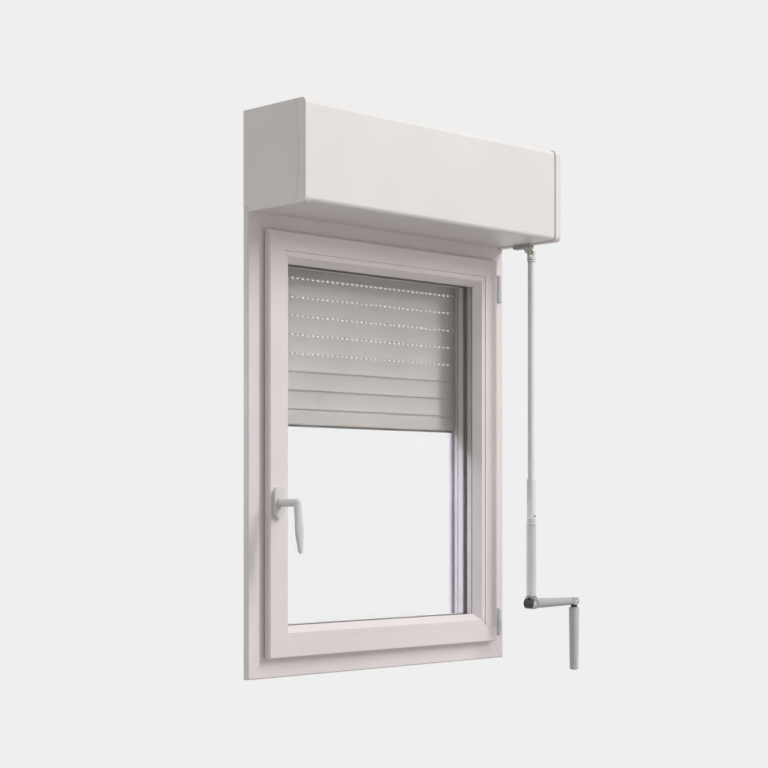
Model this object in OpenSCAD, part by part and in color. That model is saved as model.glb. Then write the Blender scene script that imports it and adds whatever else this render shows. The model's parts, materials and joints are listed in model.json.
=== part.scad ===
// Room-side window unit with a crank-driven roller shutter: a flanged frame, one side-hung
// glazed sash, and a shutter box above it whose slatted curtain runs in guides outside the glass.
// Axes: X to the right seen from the room, Y out through the wall, Z up.
// Origin: the middle of the seat under the outer sill.

/* [Frame] */
// Width of the frame flange and of the shutter box
unit_w = 800; // [700:10:1200]
// Height of the frame, from the seat to the top of its flange
frame_h = 986; // [900:2:1400]
// Thickness of the flange that laps the wall
flange_t = 15; // [10:1:20]
// How far the flange laps the wall round the opening
flange_lap = 46; // [36:1:60]
// Depth of the frame body in the wall
frame_depth = 46; // [44:1:60]
// Face width of the frame, from flange edge to rebate
frame_face = 62; // [58:1:76]
// Height of the outer stop above the rebate
stop_h = 26; // [20:1:27]
// Thickness of the outer stop
stop_t = 12; // [8:1:14]
// Chamfer on the room edge of the flange
flange_chamfer = 2.5; // [0.5:0.5:5]
// Diameter of the wall fixing holes in the jambs
fixing_d = 7.5; // [5:0.5:10]
// Distance between the two fixing holes of a jamb
fixing_gap = 600; // [400:10:760]
// How far the sill nose runs out past the frame body
sill_nose = 34; // [28:1:60]

/* [Sash] */
// Frame face left showing round the closed sash
reveal = 43; // [38:1:46]
// How far the sash face stands out from the wall
sash_proud = 35; // [32:1:45]
// Thickness of the compressed seal between sash lip and frame
seal_t = 3; // [2:0.5:4]
// Depth of the sash body behind the lip
sash_depth = 48; // [44:1:48]
// Width of the fitting gap between sash body and frame rebate
fitting_gap = 8; // [7:0.5:10]
// Face width of the sash from its edge to the glazing bead
sash_face = 41; // [38:1:46]
// Width of the glazing bead
bead_w = 25; // [18:1:30]
// Flat front of the glazing bead, before its slope
bead_flat = 11; // [6:1:14]
// Thickness of the sealed glass unit
glass_unit_t = 24; // [20:1:26]
// Depth of the glass behind the sash face
glass_recess = 24; // [20:1:28]
// Thickness of one glass pane
pane_t = 4; // [3:1:6]
// Width of the spacer between the panes
spacer_w = 12; // [8:1:16]

/* [Handle and hinges] */
// Height of the handle axis above the seat
handle_z = 370; // [300:5:600]
// Length of the handle lever from its axis
lever_len = 106; // [80:1:140]
// How far the lever stands out from the sash face
lever_out = 63; // [50:1:74]
// Diameter of the handle spindle
spindle_d = 8; // [6:1:10]
// Width of the handle rosette
rosette_w = 27; // [24:1:34]
// Thickness of the handle rosette
rosette_t = 9; // [6:1:12]
// Length of one hinge
hinge_len = 60; // [50:1:80]
// Diameter of the hinge knuckles
hinge_d = 16; // [14:1:18]
// Diameter of the hinge pins
hinge_pin_d = 8; // [6:1:9]

/* [Shutter box] */
// Height of the box
box_h = 212; // [200:1:260]
// How far the box stands out from the wall
box_proud = 193; // [180:1:240]
// How far the frame head reaches up into the box
box_lap = 10; // [6:1:13]
// Thickness of the box panels
panel_t = 4; // [3:0.5:6]
// Thickness of an end cap's wall and of its rim
cap_t = 3; // [2:0.5:4]
// Width of the rim of an end cap
cap_rim = 17; // [12:1:24]
// Radius of the front corners of the box
box_r = 12; // [8:1:18]
// Width of the fixed strip of the underside, from wall to seam
underside_w = 48; // [40:1:70]
// Thickness of the side plates that carry the roller
side_plate_t = 3; // [2:0.5:4]
// Thickness of the foam lining
foam_t = 20; // [10:1:30]

/* [Curtain] */
// Height of one slat in the hanging curtain
slat_pitch = 41; // [37:0.5:45]
// Thickness of a slat
slat_t = 8.5; // [7.5:0.5:9]
// Gap between slats, where the light slots are
slat_gap = 4; // [2:0.5:5]
// Bow of a slat's faces
slat_bow = 1.4; // [1:0.1:2]
// Length of a light slot
light_slot = 7.5; // [6:0.5:15]
// Height of the bottom bar
bar_h = 36; // [30:1:50]
// Distance from the underside of the box to the bottom of the curtain
curtain_drop = 440; // [420:5:460]
// Width of a guide rail
guide_w = 26; // [24:1:30]
// Depth of a guide rail
guide_d = 26; // [24:1:30]
// Wall of a guide rail
guide_wall = 2.5; // [2:0.5:3]
// Width of the light gap from the fixed curtain end to the guide's web
end_gap = 3.5; // [2:0.5:6]

/* [Roller and drive] */
// Diameter of the roller tube
tube_d = 58; // [50:1:60]
// Wall of the roller tube
tube_wall = 1.5; // [1:0.5:3]
// Diameter of the idler pin
idler_d = 12; // [8:1:16]
// Offset of the gear's input shaft from the roller axis
gear_offset = 18; // [14:1:19]
// Diameter of the drive rod
drive_d = 9; // [7:1:10]
// Distance from the end of the box to the drive rod
drive_inset = 12; // [10:1:16]
// Distance from the wall to the universal joint
joint_out = 114; // [111:1:124]
// Drop of the universal joint below the box
joint_drop = 19; // [19:1:22]

/* [Crank] */
// Diameter of the crank rod
rod_d = 17; // [12:0.5:18]
// Distance from the universal joint to the folding knuckle
rod_len = 824; // [600:2:1000]
// Diameter of the hand sleeve
sleeve_d = 23; // [20:0.5:25]
// Length of the hand sleeve
sleeve_len = 166; // [100:2:220]
// Length of the crank arm between its pivots
arm_len = 158; // [120:2:190]
// Diameter of the folding knuckles
knuckle_d = 26; // [22:0.5:28]
// Length of the turning grip
grip_len = 148; // [100:2:170]
// Diameter of the grip at its top
grip_d = 25; // [20:0.5:26]
// Diameter of the grip at its end
grip_end_d = 21; // [16:0.5:24]

/* [Hidden] */
$fn = 64;
VISIBLE_SLATS = 8;
FIRST_SLOTTED = 3;

// Clearances
run = 0.05;
free = 0.3;
eps = 0.5;
far = 3000;

// Frame places: the wall plane and the faces that follow from it
wall_y = -frame_depth / 2;
face_y = wall_y - flange_t;
back_y = frame_depth / 2;
body_w = unit_w - 2 * flange_lap;
frame_d = frame_face + stop_h;
rebate_x = unit_w / 2 - frame_face;

// Sash places
sash_w = unit_w - 2 * reveal;
sash_h = frame_h - 2 * reveal;
sash_y = wall_y - sash_proud;
lip_back_y = face_y - seal_t;
sash_back_y = lip_back_y + sash_depth;
sash_body_u = frame_face - reveal + fitting_gap;
sash_d = sash_face + bead_w;
gasket_t = 3;
glass_y = sash_y + glass_recess;
glass_back_y = glass_y + glass_unit_t;
glass_hold = 5;
glass_edge_u = sash_face + glass_hold;
stile_x = sash_w / 2 - sash_body_u;

// Handle and hinge places
handle_x = -(sash_w / 2 - sash_face / 2);
lever_r = 8.5;
rosette_h = 66;
spindle_in = 14;
edge_r = 2;
hinge_gap = 2;
hinge_x = sash_w / 2 + hinge_d / 2 + hinge_gap;
hinge_y = sash_y + hinge_d / 2;
hinge_low = 14;
hinge_high = 36;
hinge_zs = [reveal + hinge_low, frame_h - reveal - hinge_high - hinge_len];
leaf_t = 3;
lock_t = 4;
lock_w = 12;
lock_in = 8;
lock_y = wall_y + lock_in;
cam_d = 8;
cam_h = 1.2;
cam_at = [0.2, 0.5, 0.8];
strike_t = 1.3;
lock_travel = 18;
lock_end = 70;
lock_z = reveal + lock_end;
lock_len = frame_h - 2 * lock_z - lock_travel;

// Box places
box_z = frame_h - box_lap;
box_top_z = box_z + box_h;
front_y = wall_y - box_proud;
panel_y = front_y + cap_t;
panel_z = box_z + cap_t;
panel_top_z = box_top_z - cap_t;
panel_w = unit_w - 2 * cap_t;
cover_top = 20;
seam_y = wall_y - underside_w;
outer_panel_y = back_y + guide_d;
outer_panel_t = 6;
guide_inset = 24;
guide_x = body_w / 2 - guide_inset;
plate_gap = 2;
plate_x = guide_x - plate_gap;

// Guides and curtain places
curtain_y = back_y + guide_d / 2;
slat_len = 2 * (guide_x - guide_wall - end_gap);
bar_z = box_z - curtain_drop;
bar_top_z = bar_z + bar_h + slat_gap;
slat_h = slat_pitch - slat_gap;
bead_d = 3.6;
bead_up = 4.2;
neck_t = 1.6;
foot_h = 5;

// Wound slats: the hollow of each slat lies on the tube, or on the crown of the slat below
slat_hollow = 0.9 * slat_bow;
wound_rings = 3;
ring_1_r = tube_d / 2 + free + slat_t / 2 - slat_hollow;
ring_step = slat_t + free - slat_hollow;
ring_slats = floor(180 / atan(slat_h / 2 / (ring_1_r - slat_t / 2 - free)));
last_ring_r = ring_1_r + (wound_rings - 1) * ring_step;
wound_r = max(last_ring_r + slat_t / 2, norm([last_ring_r + slat_t / 2 - slat_bow, slat_h / 2]));
roll_r = wound_r + slat_t / 2 + 2;
axis_y = curtain_y - roll_r;
joint_x = unit_w / 2 - drive_inset;
joint_y = wall_y - joint_out;
joint_z = box_z - joint_drop;
axis_z = joint_z + (axis_y - joint_y) - gear_offset * sqrt(2);
hanging_slats = floor((axis_z + slat_h / 2 - bar_top_z) / slat_pitch);
gear_out = norm([axis_y - joint_y, axis_z - joint_z]);
input_len = sqrt(gear_out * gear_out - gear_offset * gear_offset);
gear_w = 2 * drive_inset - 2 * cap_t - 2;
stub_len = 14;
tube_half = plate_x - 6;
bearing_d = 26;
bearing_lip = 5;
drive_end = 4;
exit_d = 17;
exit_len = 40;
exit_back = 50;

// Universal joint and crank places
ear_in = 6.5;
ear_t = 3.5;
ear_w = 8;
ear_past = 3.4;
hub_from = 12.5;
hub_len = 8;
hub_d = 13;
web_t = 3;
cross_d = 4;
fork_d = 2 * (ear_in + ear_t);
rod_top_z = joint_z - hub_from - hub_len;
knuckle_z = joint_z - rod_len;
sleeve_z = knuckle_z + knuckle_d / 2 + 5;
collar_len = 108;
collar_d = sleeve_d - 1.5;
arm_w = 9;
arm_x = joint_x + arm_len;
arm_end_d = 18;
knuckle_pin_d = 6;
grip_pin_d = 5;
grip_tongue_w = 6.4;
spindle_len = grip_len - 10;
grip_spindle_d = 8;
grip_top_z = knuckle_z - knuckle_d / 2 - 2;

white = "whitesmoke";
grey = "silver";

// Bars and rings
module mitred_bar(len, depth) {
  intersection() {
    rotate([90, 0, 90]) linear_extrude(len, center = true) children();
    rotate([90, 0, 0]) linear_extrude(far, center = true)
      polygon([[-len / 2, 0], [len / 2, 0], [len / 2 - depth, depth], [-len / 2 + depth, depth]]);
  }
}

// One bar of a rectangular ring, shortened by cut where the bars stay separate pieces
module ring_bar(side, w, z, h, depth, cut = 0) {
  if (side == "bottom") translate([0, 0, z]) mitred_bar(w - cut, depth) children();
  if (side == "top") translate([0, 0, z + h]) mirror([0, 0, 1]) mitred_bar(w - cut, depth) children();
  if (side == "left")
    translate([-w / 2, 0, z + h / 2]) rotate([0, 90, 0]) mitred_bar(h - cut, depth) children();
  if (side == "right")
    translate([w / 2, 0, z + h / 2]) rotate([0, -90, 0]) mitred_bar(h - cut, depth) children();
}

module ring(w, z, h, depth, cut = 0) {
  for (side = ["bottom", "top", "left", "right"]) ring_bar(side, w, z, h, depth, cut) children();
}

// A rectangular ring of square-cut material: outer size, band across it, and its place along Y
module square_ring(w, z, h, band, y, t) {
  difference() {
    box_between([-w / 2, y, z], [w / 2, y + t, z + h]);
    box_between([-w / 2 + band, y - eps, z + band], [w / 2 - band, y + t + eps, z + h - band]);
  }
}

module along_x(len) {
  rotate([90, 0, 90]) linear_extrude(len, center = true) children();
}

module box_between(low, high) {
  translate(low) cube(high - low);
}

module both_sides() {
  children();
  mirror([1, 0, 0]) children();
}

// Rounds the two front corners of an outline in the Y-Z plane
module front_rounded(y0, y1, z0, z1, r) {
  translate([y0 + r, z0]) square([y1 - y0 - r, z1 - z0]);
  translate([y0, z0 + r]) square([r, z1 - z0 - 2 * r]);
  for (z = [z0 + r, z1 - r]) translate([y0 + r, z]) circle(r);
}

// Frame
module frame_section() {
  polygon([[face_y, flange_chamfer], [face_y + flange_chamfer, 0], [wall_y, 0], [wall_y, flange_lap],
           [back_y, flange_lap], [back_y, frame_d], [back_y - stop_t, frame_d],
           [back_y - stop_t, frame_face], [face_y, frame_face]]);
}

module frame_bar(side) {
  color(white) ring_bar(side, unit_w, 0, frame_h, frame_d) frame_section();
}

module frame_head() {
  frame_bar("top");
}

module frame_bottom() {
  frame_bar("bottom");
}

module jamb_holes() {
  for (s = [-1, 1]) translate([0, wall_y + frame_depth / 4, frame_h / 2 + s * fixing_gap / 2])
    rotate([0, 90, 0]) cylinder(d = fixing_d, h = far, center = true);
}

module frame_jamb_left() {
  color(white) difference() {
    frame_bar("left");
    jamb_holes();
  }
}

module frame_jamb_right() {
  color(white) difference() {
    frame_bar("right");
    jamb_holes();
  }
}

// Two rubber seals: one under the sash lip, one on the outer stop
module frame_seal() {
  lip = 7;
  lip_u = frame_face - lip - 2;
  stop_u = frame_d - lip;
  color("dimgray") {
    square_ring(unit_w - 2 * lip_u, lip_u, frame_h - 2 * lip_u, lip, lip_back_y, seal_t);
    square_ring(unit_w - 2 * stop_u, stop_u, frame_h - 2 * stop_u, lip, sash_back_y,
                back_y - stop_t - sash_back_y);
  }
}

module outer_sill() {
  nose_t = 14;
  slope = 16;
  color(white) {
    along_x(body_w) polygon([[wall_y, 0], [back_y, 0], [back_y, flange_lap], [wall_y, flange_lap]]);
    along_x(2 * (plate_x - end_gap))
      polygon([[back_y, flange_lap - slope - nose_t], [back_y + sill_nose, flange_lap - slope - nose_t],
               [back_y + sill_nose, flange_lap - slope], [back_y + guide_d + 2, flange_lap],
               [back_y, flange_lap]]);
  }
}

module head_adapter() {
  color(white) box_between([-body_w / 2, wall_y, frame_h - flange_lap],
                           [body_w / 2, back_y, box_z + panel_t]);
}

// Guides: a C-shaped rail with brush pile on both lips
module guide_rail() {
  color(white) translate([guide_x, back_y, flange_lap]) rotate([0, 0, 90])
    linear_extrude(box_z - flange_lap) difference() {
      square([guide_d, guide_w]);
      translate([guide_wall, guide_wall]) square([guide_d - 2 * guide_wall, guide_w]);
    }
}

module guide_right() {
  guide_rail();
}

module guide_left() {
  mirror([1, 0, 0]) guide_rail();
}

module guide_brushes() {
  pile_w = 5;
  pile = guide_d / 2 - guide_wall - slat_t / 2 - free;
  color("dimgray") both_sides() for (y = [back_y + guide_wall, back_y + guide_d - guide_wall - pile])
    box_between([guide_x - guide_w, y, flange_lap + guide_wall],
                [guide_x - guide_w + pile_w, y + pile, box_z - guide_wall]);
}

// Shutter box
module cap_outline(inset) {
  front_rounded(front_y + inset, wall_y, box_z + inset, box_top_z - inset, box_r - inset);
}

module frame_notch() {
  translate([face_y - free, box_z - eps]) square([far, frame_h + free - box_z + eps]);
}

// What lies inside the front cover follows its rounded corners
module inside_cover(back) {
  front_rounded(panel_y + panel_t + free, back, panel_z + panel_t + free, panel_top_z - panel_t,
                box_r - cap_t - panel_t);
}

// A cap is a cheek with a rim round the panels, and a curved joint line near its front
module end_cap(side) {
  joint_bow = 10;
  joint_back = 21;
  joint_r = box_h * box_h / (8 * joint_bow);
  groove = 0.8;
  color(white) mirror([side < 0 ? 1 : 0, 0, 0]) difference() {
    translate([unit_w / 2 - cap_rim / 2, 0, 0]) along_x(cap_rim) difference() {
      cap_outline(0);
      frame_notch();
    }
    translate([unit_w / 2 - cap_t - cap_rim / 2, 0, 0]) along_x(cap_rim) cap_outline(cap_t);
    translate([unit_w / 2 + groove / 2, front_y + joint_back + joint_r, box_z + box_h / 2])
      rotate([0, 90, 0]) difference() {
        cylinder(r = joint_r, h = 3 * groove, center = true, $fn = 180);
        cylinder(r = joint_r - groove, h = 4 * groove, center = true, $fn = 180);
      }
    if (side > 0) exit_cut();
  }
}

module end_cap_left() {
  end_cap(-1);
}

module end_cap_right() {
  end_cap(1);
}

module box_front_cover() {
  color(white) difference() {
    along_x(panel_w) difference() {
      cap_outline(cap_t);
      cap_outline(cap_t + panel_t);
      translate([panel_y + cover_top, box_z + box_h / 2]) square([far, far]);
      translate([seam_y, box_z - eps]) square([far, box_h]);
    }
    at_joint() shaft_way() cylinder(d = exit_d + 2 * free, h = far, center = true);
  }
}

module box_underside() {
  color(white) along_x(panel_w) translate([seam_y + free, panel_z])
    square([face_y - seam_y - 2 * free, panel_t]);
}

module box_top() {
  color(white) {
    box_between([-panel_w / 2, panel_y + cover_top, panel_top_z - panel_t],
                [panel_w / 2, wall_y, panel_top_z]);
    box_between([-plate_x - side_plate_t, wall_y - eps, panel_top_z - panel_t],
                [plate_x + side_plate_t, outer_panel_y + outer_panel_t, panel_top_z]);
  }
}

module box_outer_panel() {
  color(white) box_between([-plate_x, outer_panel_y, frame_h - flange_lap],
                           [plate_x, outer_panel_y + outer_panel_t, panel_top_z - panel_t]);
}

module side_plates() {
  color("lightgray") both_sides() difference() {
    translate([plate_x + side_plate_t / 2, 0, 0]) along_x(side_plate_t) difference() {
      inside_cover(outer_panel_y);
      translate([face_y - free, panel_z]) square([flange_t + 2 * free, frame_h + free - panel_z]);
    }
    at_axis() cylinder(d = bearing_d + 2 * run, h = far, center = true);
  }
}

// Foam lining of the box: a channel against the front cover, cut back where the roll turns
module box_insulation() {
  clear = 8;
  color("gainsboro") difference() {
    along_x(2 * (plate_x - 1)) difference() {
      inside_cover(axis_y - tube_d / 2);
      translate([panel_y + panel_t + foam_t, panel_z + panel_t + foam_t])
        square([far, panel_top_z - panel_z - 2 * (panel_t + foam_t)]);
    }
    at_axis() cylinder(r = wound_r + clear, h = far, center = true);
  }
}

// Roller and its bearings
module at_axis() {
  translate([0, axis_y, axis_z]) rotate([0, 90, 0]) children();
}

module roller_tube() {
  color("lightsteelblue") at_axis() difference() {
    cylinder(d = tube_d, h = 2 * tube_half, center = true);
    cylinder(d = tube_d - 2 * tube_wall, h = far, center = true);
  }
}

// A plug fills the end of the tube and carries a stub that turns in its bearing
module end_plug(stub_end) {
  plug_len = 40;
  head_t = 3;
  translate([0, 0, tube_half - plug_len]) cylinder(d = tube_d - 2 * tube_wall - 2 * run, h = plug_len);
  translate([0, 0, tube_half]) cylinder(d = tube_d, h = head_t);
  translate([0, 0, tube_half]) cylinder(d = idler_d, h = stub_end - tube_half);
}

module idler_plug() {
  color("dimgray") mirror([1, 0, 0]) at_axis() end_plug(plate_x + side_plate_t + bearing_lip);
}

module drive_plug() {
  color("dimgray") at_axis() end_plug(plate_x + side_plate_t + stub_len);
}

module idler_bearing() {
  lip_d = bearing_d + 8;
  color("silver") mirror([1, 0, 0]) at_axis() difference() {
    union() {
      translate([0, 0, plate_x]) cylinder(d = bearing_d, h = side_plate_t + bearing_lip);
      translate([0, 0, plate_x + side_plate_t]) cylinder(d = lip_d, h = bearing_lip);
    }
    cylinder(d = idler_d + 2 * run, h = far);
  }
}

module slat_core() {
  r = (slat_h * slat_h / 4 + slat_bow * slat_bow) / (2 * slat_bow);
  difference() {
    intersection() {
      translate([-slat_t / 2, 0]) square([slat_t, slat_h]);
      translate([slat_t / 2 - r, slat_h / 2]) circle(r, $fn = 180);
    }
    translate([-slat_t / 2 - r + slat_hollow, slat_h / 2]) circle(r, $fn = 180);
  }
}

module wound_slats() {
  color("tan") for (k = [0 : wound_rings - 1]) for (i = [1 : ring_slats])
    translate([0, axis_y, axis_z]) rotate([i * 360 / ring_slats, 0, 0])
      translate([0, ring_1_r + k * ring_step, -slat_h / 2]) along_x(slat_len) slat_core();
}

module at_joint() {
  translate([joint_x, joint_y, joint_z]) children();
}

module shaft_way() {
  rotate([-45, 0, 0]) children();
}

// Crank gear: a closed housing in front of the wall, with a neck on the roller axis
module winch_housing() {
  neck_d = 34;
  neck_wall = 4;
  gear_d = 46;
  gear_h = 64;
  neck_x = plate_x + side_plate_t;
  gear_back_y = wall_y - free;
  color("dimgray") difference() {
    union() {
      box_between([neck_x, gear_back_y - gear_d, axis_z - gear_h / 2],
                  [joint_x + gear_w / 2, gear_back_y, axis_z + gear_h / 2]);
      at_axis() translate([0, 0, neck_x]) cylinder(d = neck_d, h = stub_len + neck_wall);
    }
    at_axis() cylinder(d = idler_d + 2 * run, h = neck_x + stub_len + free);
    at_joint() shaft_way() cylinder(d = drive_d + 2 * run, h = input_len + drive_end + free);
  }
}

module exit_cut() {
  box_between([joint_x - exit_d / 2 - free, joint_y - free, box_z - eps],
              [joint_x + exit_d / 2 + free, joint_y + exit_back + free, panel_z + eps]);
}

// Exit plate under the box, with the sleeve that guides the drive rod
module exit_plate() {
  plate_drop = 7;
  color("dimgray") difference() {
    union() {
      box_between([joint_x - exit_d / 2, joint_y, box_z - plate_drop],
                  [joint_x + exit_d / 2, joint_y + exit_back, panel_z]);
      at_joint() shaft_way() translate([0, 0, hub_from]) cylinder(d = exit_d, h = exit_len);
    }
    at_joint() shaft_way() translate([0, 0, -far / 2])
      cylinder(d = fork_d + 2, h = far / 2 + hub_from + web_t + 1);
    at_joint() shaft_way() cylinder(d = hub_d + 1, h = hub_from + hub_len + 1);
    at_joint() shaft_way() cylinder(d = drive_d + 2 * run, h = far);
  }
}

module drive_rod() {
  color("silver") at_joint() shaft_way() translate([0, 0, hub_from + 1])
    cylinder(d = drive_d, h = input_len + drive_end - hub_from - 1);
}

// Universal joint: each fork has a hub and two ears, and the cross sits between them
module fork(hub_od, bore_d) {
  difference() {
    union() {
      translate([0, 0, hub_from]) cylinder(d = hub_od, h = hub_len);
      translate([0, 0, hub_from]) cylinder(d = fork_d, h = web_t);
      intersection() {
        cylinder(d = fork_d, h = 2 * hub_from, center = true);
        for (s = [-1, 1]) translate([s > 0 ? ear_in : -ear_in - ear_t, -ear_w / 2, -ear_past])
          cube([ear_t, ear_w, hub_from + ear_past]);
      }
    }
    rotate([0, 90, 0]) cylinder(d = cross_d + 2 * run, h = far, center = true);
    translate([0, 0, hub_from + 1]) cylinder(d = bore_d, h = far);
  }
}

module upper_fork() {
  color("darkgray") at_joint() shaft_way() fork(hub_d, drive_d + 2 * run);
}

module lower_fork() {
  color("darkgray") at_joint() rotate([180, 0, 90]) fork(rod_d + 2, rod_d - 4);
}

module joint_cross() {
  short = ear_in - free;
  color("gray") at_joint() {
    sphere(d = 2 * ear_in - 4);
    rotate([90, 0, 0]) cylinder(d = cross_d, h = fork_d - 1, center = true);
    rotate([0, 90, 0]) cylinder(d = cross_d, h = 2 * short, center = true);
  }
}

// Curtain: slats with a rolled bead on top that hangs in the socket of the slat above
module slat_section() {
  difference() {
    slat_core();
    translate([0, bead_up]) circle(d = bead_d + 2 * free);
    translate([-neck_t / 2 - free, -eps]) square([neck_t + 2 * free, bead_up + eps]);
  }
  tongue(slat_h);
}

module tongue(top) {
  translate([-neck_t / 2, top - eps]) square([neck_t, slat_gap + bead_up + eps]);
  translate([0, top + slat_gap + bead_up]) circle(d = bead_d);
}

module slat(i) {
  step = 2 * light_slot;
  count = floor((slat_len / 2 - light_slot) / step);
  sill = 0.2;
  color("tan") translate([0, curtain_y, bar_top_z + (i - 1) * slat_pitch]) difference() {
    along_x(slat_len) slat_section();
    if (i >= FIRST_SLOTTED) for (k = [-count : count])
      translate([k * step - light_slot / 2, -slat_t, slat_h + sill])
        cube([light_slot, 2 * slat_t, slat_gap - 2 * sill]);
  }
}

module upper_slats() {
  for (i = [VISIBLE_SLATS + 1 : hanging_slats]) slat(i);
}

module bottom_bar() {
  edge = 2;
  color("tan") translate([0, curtain_y, bar_z]) along_x(slat_len) {
    polygon([[-slat_t / 2 + edge, foot_h], [slat_t / 2 - edge, foot_h], [slat_t / 2, foot_h + 2 * edge],
             [slat_t / 2, bar_h - edge], [slat_t / 2 - edge, bar_h], [-slat_t / 2 + edge, bar_h],
             [-slat_t / 2, bar_h - edge], [-slat_t / 2, foot_h + 2 * edge]]);
    tongue(bar_h);
  }
}

module bottom_seal() {
  seal_w = slat_t - 4;
  color("dimgray") translate([0, curtain_y, bar_z]) along_x(slat_len - 2 * guide_w) {
    translate([-seal_w / 2, foot_h / 2]) square([seal_w, foot_h / 2]);
    translate([0, foot_h / 2]) circle(d = seal_w);
  }
}

// Sash
module sash_section() {
  polygon([[sash_y, edge_r], [sash_y + edge_r, 0], [lip_back_y, 0], [lip_back_y, sash_body_u],
           [sash_back_y, sash_body_u], [sash_back_y, sash_d], [glass_back_y + gasket_t, sash_d],
           [glass_back_y + gasket_t, sash_face], [sash_y, sash_face]]);
}

module sash_bar(side) {
  color(white) ring_bar(side, sash_w, reveal, sash_h, sash_d) sash_section();
}

module sash_rail_top() {
  sash_bar("top");
}

module sash_rail_bottom() {
  sash_bar("bottom");
}

module sash_stile_hinge() {
  sash_bar("right");
}

module sash_stile_lock() {
  color(white) difference() {
    sash_bar("left");
    at_handle() translate([0, 0, -spindle_in - free]) cylinder(d = spindle_d + 2 * run, h = far);
  }
}

module glazing_beads() {
  step = 2;
  color(white) ring(sash_w, reveal, sash_h, sash_d, 2 * run)
    polygon([[sash_y + step, sash_face], [sash_y + step, sash_face + bead_flat],
             [glass_y - gasket_t, sash_d], [glass_y - gasket_t, sash_face]]);
}

module glass_panes() {
  w = sash_w - 2 * glass_edge_u;
  z = reveal + glass_edge_u;
  color("lightcyan", 0.3) for (y = [glass_y, glass_back_y - pane_t])
    box_between([-w / 2, y, z], [w / 2, y + pane_t, frame_h - z]);
}

// A thin ring that follows the sash at an inset from its edge
module sash_ring(inset, band, y, t) {
  square_ring(sash_w - 2 * inset, reveal + inset, sash_h - 2 * inset, band, y, t);
}

module glass_spacer() {
  color("gray") sash_ring(glass_edge_u, spacer_w, glass_y + pane_t, glass_unit_t - 2 * pane_t);
}

module glazing_gaskets() {
  band = 6;
  color("dimgray") for (y = [glass_y - gasket_t, glass_back_y]) sash_ring(sash_d - band, band, y, gasket_t);
}

// Hinges: the lower knuckle belongs to the frame, the upper one to the sash
module hinge_knuckle(z, h) {
  translate([hinge_x, hinge_y, z]) difference() {
    cylinder(d = hinge_d, h = h);
    translate([0, 0, -eps]) cylinder(d = hinge_pin_d + 2 * run, h = h + 2 * eps);
  }
}

module knuckle_bore(z) {
  translate([hinge_x, hinge_y, z - eps]) cylinder(d = hinge_pin_d + 2 * run, h = hinge_len + 2 * eps);
}

module hinge_frame_leaves() {
  half = hinge_len / 2 - free / 2;
  leaf_w = 24;
  color(white) for (z = hinge_zs) difference() {
    union() {
      hinge_knuckle(z, half);
      box_between([hinge_x, hinge_y, z], [hinge_x + hinge_d / 2, face_y, z + half]);
      box_between([hinge_x, face_y - leaf_t, z], [hinge_x + leaf_w, face_y, z + half]);
    }
    knuckle_bore(z);
  }
}

module hinge_sash_leaves() {
  half = hinge_len / 2 - free / 2;
  color(white) for (z = hinge_zs) difference() {
    union() {
      hinge_knuckle(z + hinge_len - half, half);
      box_between([sash_w / 2, hinge_y - hinge_d / 4, z + hinge_len - half],
                  [hinge_x, hinge_y + hinge_d / 4, z + hinge_len]);
    }
    knuckle_bore(z);
  }
}

module hinge_pins() {
  color("silver") for (z = hinge_zs)
    translate([hinge_x, hinge_y, z + 1]) cylinder(d = hinge_pin_d, h = hinge_len - 2);
}

// Handle: local Z runs out of the sash into the room
module at_handle() {
  translate([handle_x, sash_y, handle_z]) rotate([90, 0, 0]) children();
}

module handle_rosette() {
  end_r = rosette_w / 2;
  color(white) at_handle() difference() {
    union() {
      for (s = [-1, 1]) translate([0, s * (rosette_h / 2 - end_r), 0]) cylinder(r = end_r, h = rosette_t);
      translate([-end_r, -rosette_h / 2 + end_r, 0]) cube([rosette_w, rosette_h - 2 * end_r, rosette_t]);
    }
    translate([0, 0, -eps]) cylinder(d = spindle_d + 2 * run, h = far);
  }
}

// Lever: a round neck, and a flat leaf that leans out into the room and narrows to its tip.
// Each station gives its share of the length, how far it leans out, and its half width and half depth.
module handle_lever() {
  tip = 8;
  stations = [[0, 0, lever_r, 7.5], [0.33, 3, 9.5, 6.5], [0.62, 6, 11.5, 6.5], [1, 9, 6, 4.5]];
  color(white) at_handle() {
    translate([0, 0, -spindle_in]) cylinder(d = spindle_d, h = spindle_in + rosette_t + eps);
    translate([0, 0, rosette_t + free]) cylinder(r = lever_r, h = lever_out - rosette_t - free);
    for (i = [1 : len(stations) - 1]) hull() for (s = [stations[i - 1], stations[i]])
      translate([0, -s[0] * (lever_len - tip), lever_out + s[1]])
        scale([s[2] / lever_r, tip / lever_r, s[3] / lever_r]) sphere(lever_r, $fn = 32);
  }
}

// Locking bar on the edge of the lock stile, with round cams, and the plates they pass
module locking_bar() {
  x = stile_x + free;
  color("silver") mirror([1, 0, 0]) {
    box_between([x, lock_y, lock_z], [x + lock_t, lock_y + lock_w, lock_z + lock_len]);
    for (k = cam_at) translate([x + lock_t - eps, lock_y + lock_w / 2, lock_z + k * lock_len])
      rotate([0, 90, 0]) cylinder(d = cam_d, h = cam_h + eps);
  }
}

module strike_plates() {
  color("silver") mirror([1, 0, 0]) for (k = cam_at)
    translate([rebate_x - strike_t, lock_y - 2, lock_z + k * lock_len - 2 * cam_d])
      cube([strike_t, lock_w + 4, 4 * cam_d + lock_travel]);
}

// Crank: a rod that turns inside a hand sleeve, a folding arm and a turning grip
module crank_sleeve() {
  color(grey) translate([joint_x, joint_y, sleeve_z]) difference() {
    cylinder(d = sleeve_d, h = sleeve_len);
    translate([0, 0, -eps]) cylinder(d = rod_d + 2 * run, h = sleeve_len + 2 * eps);
  }
}

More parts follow.
